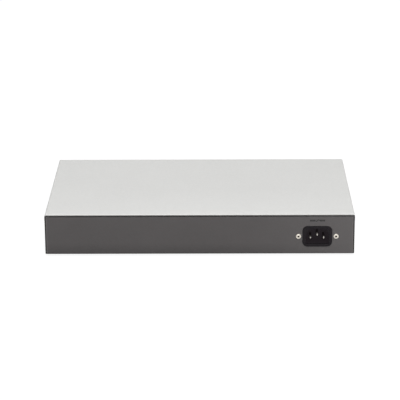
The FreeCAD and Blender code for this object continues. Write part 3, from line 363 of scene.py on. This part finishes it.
def laminate(name, mask, copper, glass):
    """Circuit board: solder mask over copper tracks, with the weave of the glass cloth beneath."""
    finish = Finish(name, mask, roughness=0.35, specular_ior_level=0.6)
    tracks = finish.nodes.new("ShaderNodeTexBrick")
    finish.links.new(finish.place, tracks.inputs["Vector"])
    tracks.inputs["Scale"].default_value = 60
    tracks.inputs["Mortar Size"].default_value = 0.03
    tracks.inputs["Color1"].default_value = (0, 0, 0, 1)
    tracks.inputs["Color2"].default_value = (0, 0, 0, 1)
    tracks.inputs["Mortar"].default_value = (1, 1, 1, 1)
    finish.tint(finish.math("MULTIPLY", tracks.outputs["Color"], 0.7), copper)
    finish.tint(finish.spread(finish.cells(3.4), 0.9, 0.0, 0.0, 0.09), glass)
    finish.vary(finish.noise(0.6, detail=2), 0.08)
    finish.bump(tracks.outputs["Color"], 0.03)
    finish.bump(finish.bands(0.6, "DIAGONAL"), 0.01)
    return finish.done()


def banded(name, colour, other, size, direction, share, roughness=0.4, metallic=0.0, depth=0.05):
    """Something wound, wrapped or striped: bands of two colours, about this share for the second."""
    finish = Finish(name, colour, roughness=roughness, metallic=metallic)
    finish.edges(0.2, other, 0.2)
    bands = finish.bands(size, direction)
    finish.tint(finish.spread(bands, 0.0, 1.0, 1 - share - 0.05, 1 - share + 0.05), other)
    finish.vary(finish.noise(0.8), 0.06)
    finish.roughen(finish.noise(1.0), 0.06)
    finish.bump(bands, depth)
    return finish.done()


def sintered():
    """Ferrite: dull grey, speckled and slightly rough."""
    finish = Finish("ferrite", paint(62, 62, 64), roughness=0.62, metallic=0.2)
    finish.edges(0.25, paint(110, 110, 112), 0.5)
    finish.vary(finish.noise(0.5, detail=5), 0.18)
    finish.tint(finish.spread(finish.cells(0.9), 0.25, 0.0, 0.05, 0.2), paint(128, 128, 130))
    finish.bump(finish.noise(0.3, detail=3), 0.02)
    return finish.done()


FINISHES = {
    "base_paint": powder_coat(),
    "cover_paint": cover_paint(),
    "film": printed_film(),
    "foot_rubber": rubber(),
    "zinc_steel": plated("zinc plated steel", paint(196, 197, 199), 0.34, stain=0.1),
    "spring_steel": plated("spring steel", paint(170, 170, 172), 0.28),
    "inlet_plastic": inlet_plastic(),
    "nickel": blade_nickel(),
    "mandrel_steel": plated("mandrel steel", paint(50, 38, 30), 0.6, stain=0.2),
    "rivet_aluminium": rivet_metal(),
    "jack_plastic": moulded("jack plastic", paint(37, 37, 38), 0.45),
    "tin_plate": plated("tin plate", paint(206, 206, 203), 0.3, brush=(0.2, 1, 4), stain=0.05),
    "gilt": plated("gilt contacts", paint(236, 196, 104), 0.22, brush=(3, 0.3, 3)),
    "clear_plastic": clear("clear plastic", paint(222, 228, 226)),
    "lamp_plastic": clear("tinted lamp plastic", paint(158, 206, 150), 0.2),
    "button_plastic": moulded("button plastic", paint(160, 160, 158), 0.42),
    "chip_plastic": moulded("chip epoxy", paint(44, 44, 46), 0.55, grain=0.02, mottle=0.08),
    "header_plastic": moulded("natural nylon", paint(228, 224, 206), 0.42),
    "board_laminate": laminate("green board", paint(24, 96, 52), paint(54, 132, 72), paint(212, 206, 190)),
    "supply_laminate": laminate("brown board", paint(150, 116, 70), paint(168, 136, 92),
                                paint(206, 204, 198)),
    "insulator_film": moulded("insulating film", paint(74, 74, 76), 0.3, grain=0.004),
    "can_sleeve": banded("can sleeve", paint(32, 40, 74), paint(196, 200, 206), 9,
                         "X", 0.22, depth=0.0),
    "ferrite": sintered(),
    "coil_tape": banded("coil tape", paint(224, 190, 74), paint(238, 210, 110), 1.2, "Z", 0.3),
    "copper_winding": banded("copper winding", paint(206, 110, 62), paint(120, 54, 28), 0.9, "DIAGONAL", 0.3,
                             0.25, 1.0, 0.2),
    "fuse_glass": clear("fuse glass", paint(224, 230, 230), 0.05),
    "film_capacitor_plastic": moulded("film capacitor", paint(196, 146, 66), 0.4),
    "sink_aluminium": plated("extruded aluminium", paint(190, 191, 194), 0.38, brush=(4, 4, 0.2)),
    "line_insulation": moulded("brown insulation", paint(112, 70, 42), 0.38),
    "neutral_insulation": moulded("blue insulation", paint(52, 96, 176), 0.38),
    "earth_insulation": banded("green and yellow insulation", paint(58, 142, 60), paint(228, 212, 66), 4,
                               "DIAGONAL", 0.4, depth=0.0),
    "positive_insulation": moulded("red insulation", paint(176, 40, 36), 0.38),
    "return_insulation": moulded("black insulation", paint(36, 36, 37), 0.38),
}


def dress(node, material):
    """Gives every material slot of a shown piece this finish."""
    if not node.material_slots:
        node.data.materials.append(material)
    for slot in node.material_slots:
        slot.material = material


slot_of = {part["node"]: part["material_slot"] for part in frame["record"]["subparts"]}
for name, node in frame["nodes"].items():
    dress(node, FINISHES[slot_of[name]])


# ------------------------------------------------------------------ printed marks

# Sizes in millimetres; a way to face is a turn about X and then about Z, in degrees.
PRINT_THICK = 0.04
FACING_FRONT = (90, 0)
FACING_REAR = (90, 180)
COLUMNS = 6
JACK_PITCH = 13.97
PIPE_SPREAD = 5.6
NUMBER_HEIGHT = 1.5
RULE = 0.3
ARC_STEPS = 24
TEXT_SIZE = 1.4  # a font's size against the height of its digits


def middle(name):
    """The middle of a node's box, in metres."""
    low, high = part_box(name)
    return (low + high) / 2


def printed(name, outlines):
    """Flat closed outlines in the XY plane, each made into a film of ink that rises along +Z."""
    mesh = bpy.data.meshes.new(name)
    work = bmesh.new()
    for points in outlines:
        base = work.faces.new([work.verts.new((x * MM, y * MM, 0)) for x, y in points])
        grown = bmesh.ops.extrude_face_region(work, geom=[base])["geom"]
        lifted = [part for part in grown if isinstance(part, bmesh.types.BMVert)]
        bmesh.ops.translate(work, verts=lifted, vec=(0, 0, PRINT_THICK * MM))
    bmesh.ops.recalc_face_normals(work, faces=work.faces)
    work.to_mesh(mesh)
    work.free()
    return mesh


def band(points, width):
    """The outline of an open line of this width through the points."""
    left, right = [], []
    for i, (x, y) in enumerate(points):
        before = points[max(i - 1, 0)]
        after = points[min(i + 1, len(points) - 1)]
        angle = math.atan2(after[1] - before[1], after[0] - before[0]) + math.pi / 2
        dx, dy = width / 2 * math.cos(angle), width / 2 * math.sin(angle)
        left.append((x + dx, y + dy))
        right.append((x - dx, y - dy))
    return left + right[::-1]


def bar(x, y, width, height):
    """A small upright rectangle centred here."""
    return [(x - width / 2, y - height / 2), (x + width / 2, y - height / 2),
            (x + width / 2, y + height / 2), (x - width / 2, y + height / 2)]


def arc(x, y, radius, start, end):
    """Points along a round stretch, angles in degrees."""
    turns = (math.radians(start + (end - start) * i / ARC_STEPS) for i in range(ARC_STEPS + 1))
    return [(x + radius * math.cos(a), y + radius * math.sin(a)) for a in turns]


def digits(number, x, y, height):
    """The mesh of a plain printed number in the XY plane, centred on x and standing on y."""
    text = bpy.data.curves.new("number", "FONT")
    text.body = str(number)
    text.size = height * TEXT_SIZE * MM
    text.align_x = "CENTER"
    text.extrude = PRINT_THICK / 2 * MM
    text.resolution_u = 4
    holder = bpy.data.objects.new("number", text)
    mesh = bpy.data.meshes.new_from_object(holder)
    mesh.transform(Matrix.Translation((x * MM, y * MM, PRINT_THICK / 2 * MM)))
    bpy.data.objects.remove(holder)
    return mesh


def stick(name, mesh, place, facing, material):
    """Puts a printed mark on a face of the case, at a place in metres."""
    mark = bpy.data.objects.new(name, mesh)
    bpy.context.scene.collection.objects.link(mark)
    about_x, about_z = (math.radians(turn) for turn in facing)
    upright = Matrix.Rotation(about_z, 4, "Z") @ Matrix.Rotation(about_x, 4, "X")
    mark.matrix_world = Matrix.Translation(place) @ upright
    dress(mark, material)
    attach(mark, "switch")


def ink(name, colour):
    """Screen-printed ink: thin, matt and a little uneven."""
    finish = Finish(name, colour, roughness=0.55)
    finish.vary(finish.noise(0.5, detail=3), 0.08)
    finish.vary(finish.noise(3), 0.04)
    finish.roughen(finish.noise(0.8), 0.06)
    finish.bump(finish.noise(0.2, detail=2), 0.004)
    return finish.done()


PALE_INK = ink("pale ink", paint(186, 188, 190))
DARK_INK = ink("dark ink", paint(12, 11, 11))


def supply_sign():
    """The sign for alternating current over the inlet: a wave between two rows of short strokes."""
    outer_stroke, stroke_pitch = 7.25, 1.35
    stroke_width, stroke_height = 1.0, 1.9
    wave_length, wave_height, wave_width = 4.4, 0.8, 0.8
    above_inlet = 5.2
    along = [step / 10 for step in range(-22, 23)]
    wave = [(x, wave_height * math.sin(x * math.tau / wave_length)) for x in along]
    outlines = [band(wave, wave_width)]
    for side in (-1, 1):
        for stroke in range(4):
            x = side * (outer_stroke - stroke_pitch * stroke)
            outlines.append(bar(x, 0, stroke_width, stroke_height))
    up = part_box("power_inlet")[1].z + above_inlet * MM
    place = Vector((middle("power_inlet").x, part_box("chassis_base")[1].y, up))
    stick("supply_sign", printed("supply_sign", outlines), place, FACING_REAR, DARK_INK)


def gathered(name, meshes):
    """One welded mesh from several, which are used up."""
    work = bmesh.new()
    for mesh in meshes:
        work.from_mesh(mesh)
        bpy.data.meshes.remove(mesh)
    bmesh.ops.remove_doubles(work, verts=work.verts, dist=1e-7)
    whole = bpy.data.meshes.new(name)
    work.to_mesh(whole)
    work.free()
    return whole


def block_marks(side, first):
    """The numbers over one jack block's lamps, counted from first, and the rule and range under it."""
    film_low, film_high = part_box("front_film")
    shield_low, shield_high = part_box(f"jack_shield_{side}")
    pipe_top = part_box(f"light_pipes_{side}")[1].z
    centre = middle(f"jack_shield_{side}").x / MM
    over = (pipe_top + film_high.z) / 2 / MM - NUMBER_HEIGHT / 2
    under = (film_low.z + shield_low.z) / 2 / MM
    number = first
    numbers = []
    for column in range(COLUMNS):
        jack_x = centre + JACK_PITCH * (column - (COLUMNS - 1) / 2)
        for step in (-0.5, 0.5):
            numbers.append(digits(number, jack_x + PIPE_SPREAD * step, over, NUMBER_HEIGHT))
            number += 1
    span = f"{first}-{number - 1}"
    numbers.append(digits(span, centre, under - NUMBER_HEIGHT / 2, NUMBER_HEIGHT * 1.2))
    margin, room_for_span, hook = 1, 5, 1.3
    left, right = shield_low.x / MM + margin, shield_high.x / MM - margin
    lines = []
    for inner, outer in ((centre - room_for_span, left), (centre + room_for_span, right)):
        lines.append(band([(inner, under), (outer, under)], RULE))
        lines.append(band([(outer, under - RULE / 2), (outer, under + hook)], RULE))
    return numbers, lines


def power_sign():
    """A broken ring with a stroke in its gap, over the power lamp."""
    lamp = middle("power_lamp") / MM
    ring = arc(lamp.x, lamp.z + 5.5, 1.5, 130, 410)
    return [band(ring, RULE * 1.3), bar(lamp.x, lamp.z + 6.8, RULE * 1.3, 1.6)]


def uplink_sign():
    """Two opposed arrows over the uplink button."""
    button = middle("uplink_button") / MM
    head_length, half_head = 1.2, 0.55
    lines = []
    for row, way in ((6.9, 1), (5.5, -1)):
        level = button.z + row
        tip = button.x + 2.6 * way
        lines.append(bar(button.x - 0.4 * way, level, 4.0, RULE * 1.2))
        neck = tip - head_length * way
        lines.append([(tip, level), (neck, level + half_head), (neck, level - half_head)])
    return lines


def front_marks():
    """All that is printed on the front film."""
    left_numbers, left_lines = block_marks("left", 1)
    right_numbers, right_lines = block_marks("right", 1 + 2 * COLUMNS)
    numbers = gathered("port_numbers", left_numbers + right_numbers)
    lines = printed("front_signs", left_lines + right_lines + power_sign() + uplink_sign())
    face = Vector((0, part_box("front_film")[0].y, 0))
    stick("port_numbers", numbers, face, FACING_FRONT, PALE_INK)
    stick("front_signs", lines, face, FACING_FRONT, PALE_INK)


supply_sign()
front_marks()


# ------------------------------------------------------------------ the button's return spring


def return_spring():
    """The coil behind the uplink button."""
    low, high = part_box("button_spring")
    wire = 0.18 * MM
    turns, steps = 7, 24
    radius = (high.x - low.x) / 2 - wire
    centre = (low + high) / 2
    length = high.y - low.y - 2 * wire
    curve = bpy.data.curves.new("return_coil", "CURVE")
    curve.dimensions = "3D"
    curve.bevel_depth = wire
    curve.bevel_resolution = 4
    curve.use_fill_caps = True
    path = curve.splines.new("POLY")
    path.points.add(turns * steps)
    for i, point in enumerate(path.points):
        angle = math.tau * i / steps
        along = low.y + wire + length * i / (turns * steps)
        point.co = (centre.x + radius * math.cos(angle), along, centre.z + radius * math.sin(angle), 1)
    holder = bpy.data.objects.new("coil_path", curve)
    mesh = bpy.data.meshes.new_from_object(holder)
    bpy.data.objects.remove(holder)
    coil = bpy.data.objects.new("return_coil", mesh)
    bpy.context.scene.collection.objects.link(coil)
    mesh.shade_smooth()
    dress(coil, FINISHES["spring_steel"])
    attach(coil, "switch")
    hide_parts("button_spring")
    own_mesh(coil)


return_spring()

# ------------------------------------------------------------------ floor, light and camera


def floor():
    """A plain pale studio floor; to the camera it is darker and glows, and so reads as an even white."""
    mesh = bpy.data.meshes.new("floor")
    work = bmesh.new()
    bmesh.ops.create_grid(work, x_segments=1, y_segments=1, size=40)
    work.to_mesh(mesh)
    work.free()
    sheet = bpy.data.objects.new("floor", mesh)
    bpy.context.scene.collection.objects.link(sheet)
    material = bpy.data.materials.new("studio floor")
    material.use_nodes = True
    nodes, links = material.node_tree.nodes, material.node_tree.links
    shader = nodes["Principled BSDF"]
    grain = nodes.new("ShaderNodeTexNoise")
    grain.inputs["Scale"].default_value = 30
    tone = nodes.new("ShaderNodeMapRange")
    tone.inputs["To Min"].default_value = 0.76
    tone.inputs["To Max"].default_value = 0.8
    links.new(grain.outputs[0], tone.inputs["Value"])
    seen = nodes.new("ShaderNodeLightPath").outputs["Is Camera Ray"]
    darker = nodes.new("ShaderNodeMath")
    darker.operation = "MULTIPLY_ADD"
    darker.inputs[1].default_value = -0.66
    links.new(seen, darker.inputs[0])
    links.new(tone.outputs["Result"], darker.inputs[2])
    links.new(darker.outputs[0], shader.inputs["Base Color"])
    shader.inputs["Roughness"].default_value = 0.9
    shader.inputs["Specular IOR Level"].default_value = 0.1
    shader.inputs["Emission Color"].default_value = (1, 1, 1, 1)
    glow = nodes.new("ShaderNodeMath")
    glow.operation = "MULTIPLY"
    glow.inputs[1].default_value = 0.91
    links.new(seen, glow.inputs[0])
    links.new(glow.outputs[0], shader.inputs["Emission Strength"])
    dress(sheet, material)


def surroundings(seen, given):
    """A white room: this bright to the camera, and this bright as a light."""
    world = bpy.data.worlds.new("white room")
    bpy.context.scene.world = world
    world.use_nodes = True
    nodes, links = world.node_tree.nodes, world.node_tree.links
    background = nodes["Background"]
    background.inputs["Color"].default_value = (1, 1, 1, 1)
    path = nodes.new("ShaderNodeLightPath")
    level = nodes.new("ShaderNodeMapRange")
    level.inputs["To Min"].default_value = given
    level.inputs["To Max"].default_value = seen
    links.new(path.outputs["Is Camera Ray"], level.inputs["Value"])
    links.new(level.outputs["Result"], background.inputs["Strength"])


def soft_light(name, place, target, width, height, power, mirrored=True):
    """A rectangular lamp aimed at the target; one that isn't mirrored stays out of reflections."""
    lamp = bpy.data.lights.new(name, "AREA")
    lamp.shape = "RECTANGLE"
    lamp.size = width
    lamp.size_y = height
    lamp.energy = power
    holder = bpy.data.objects.new(name, lamp)
    bpy.context.scene.collection.objects.link(holder)
    holder.location = place
    holder.rotation_euler = (Vector(target) - Vector(place)).to_track_quat("-Z", "Y").to_euler()
    holder.visible_glossy = mirrored


def camera():
    """Behind the switch, above it and square on to its rear wall, with a long lens."""
    distance = 1.9583
    elevation = math.radians(18.097)
    azimuth = math.radians(0.547)
    roll = math.radians(0.323)
    aim = Vector((-0.63 * MM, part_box("chassis_base")[1].y, 62.92 * MM))
    level = math.cos(elevation)
    away = Vector((-math.sin(azimuth) * level, math.cos(azimuth) * level, math.sin(elevation)))
    lens = bpy.data.cameras.new("camera")
    lens.lens = 166.5
    lens.sensor_width = 36
    lens.clip_start = 0.05
    lens.clip_end = 200
    eye = bpy.data.objects.new("camera", lens)
    bpy.context.scene.collection.objects.link(eye)
    upright = (-away).to_track_quat("-Z", "Y").to_matrix().to_4x4()
    eye.matrix_world = Matrix.Translation(aim + away * distance) @ upright @ Matrix.Rotation(-roll, 4, "Z")
    bpy.context.scene.camera = eye


floor()
surroundings(seen=0.9, given=0.3)
soft_light("overhead", (0, 0.9, 2.0), (0, 0, 0), 2.4, 2.0, 44)
soft_light("rear", (-1.1, 1.2, 0.6), (-0.05, 0.1, 0), 0.9, 0.8, 9, mirrored=False)
soft_light("front", (0, -2.8, 1.4), (0, -0.1, 0), 4.4, 1.2, 28)
bpy.context.scene.view_settings.view_transform = "Standard"
bpy.context.scene.view_settings.look = "None"
camera()
